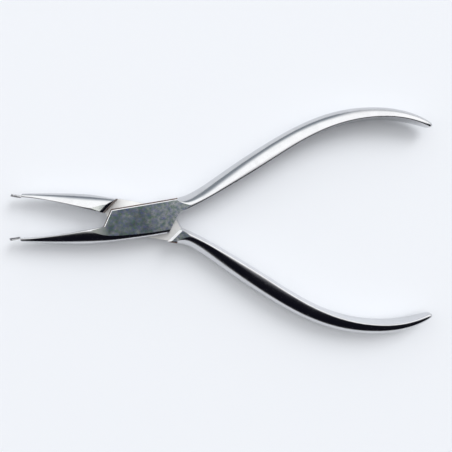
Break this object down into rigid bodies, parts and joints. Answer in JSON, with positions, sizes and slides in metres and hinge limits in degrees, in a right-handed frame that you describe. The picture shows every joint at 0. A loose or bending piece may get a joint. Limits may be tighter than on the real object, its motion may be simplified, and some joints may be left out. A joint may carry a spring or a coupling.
{
  "type": "orthodontic pliers",
  "caption": "Slender straight-beaked orthodontic utility pliers with a lap joint, half-round handles and round serrated tips, lying open.",
  "frame": {"origin": "the pivot's axis at the back face of the joint, which lies on the table", "axes": "+X towards the handles along the middle of the angle between the two halves, +Y towards the front half's handle, +Z from the table out of the joint's front face, along the pivot"},
  "size_m": [0.1353, 0.0728, 0.008],
  "materials": {
    "front_arm_steel": "polished stainless steel, finely ground flat at the joint",
    "back_arm_steel": "polished stainless steel, finely ground flat at the joint",
    "rivet_steel": "stainless steel, ground flush with the joint's faces",
    "front_pad_steel": "hardened steel with crossed grooves",
    "back_pad_steel": "hardened steel with crossed grooves"
  },
  "bodies": {
    "back_half": {"back_arm": "back_arm_steel", "back_tip_pad": "back_pad_steel", "pivot_rivet": "rivet_steel"},
    "front_half": {"front_arm": "front_arm_steel", "front_tip_pad": "front_pad_steel"}
  },
  "joints": [
    {"name": "pivot", "type": "hinge", "parent": "back_half", "child": "front_half", "pos_m": [0, 0, 0.004], "axis": [0, 0, 1], "range_deg": [-17.6, 96]}
  ]
}
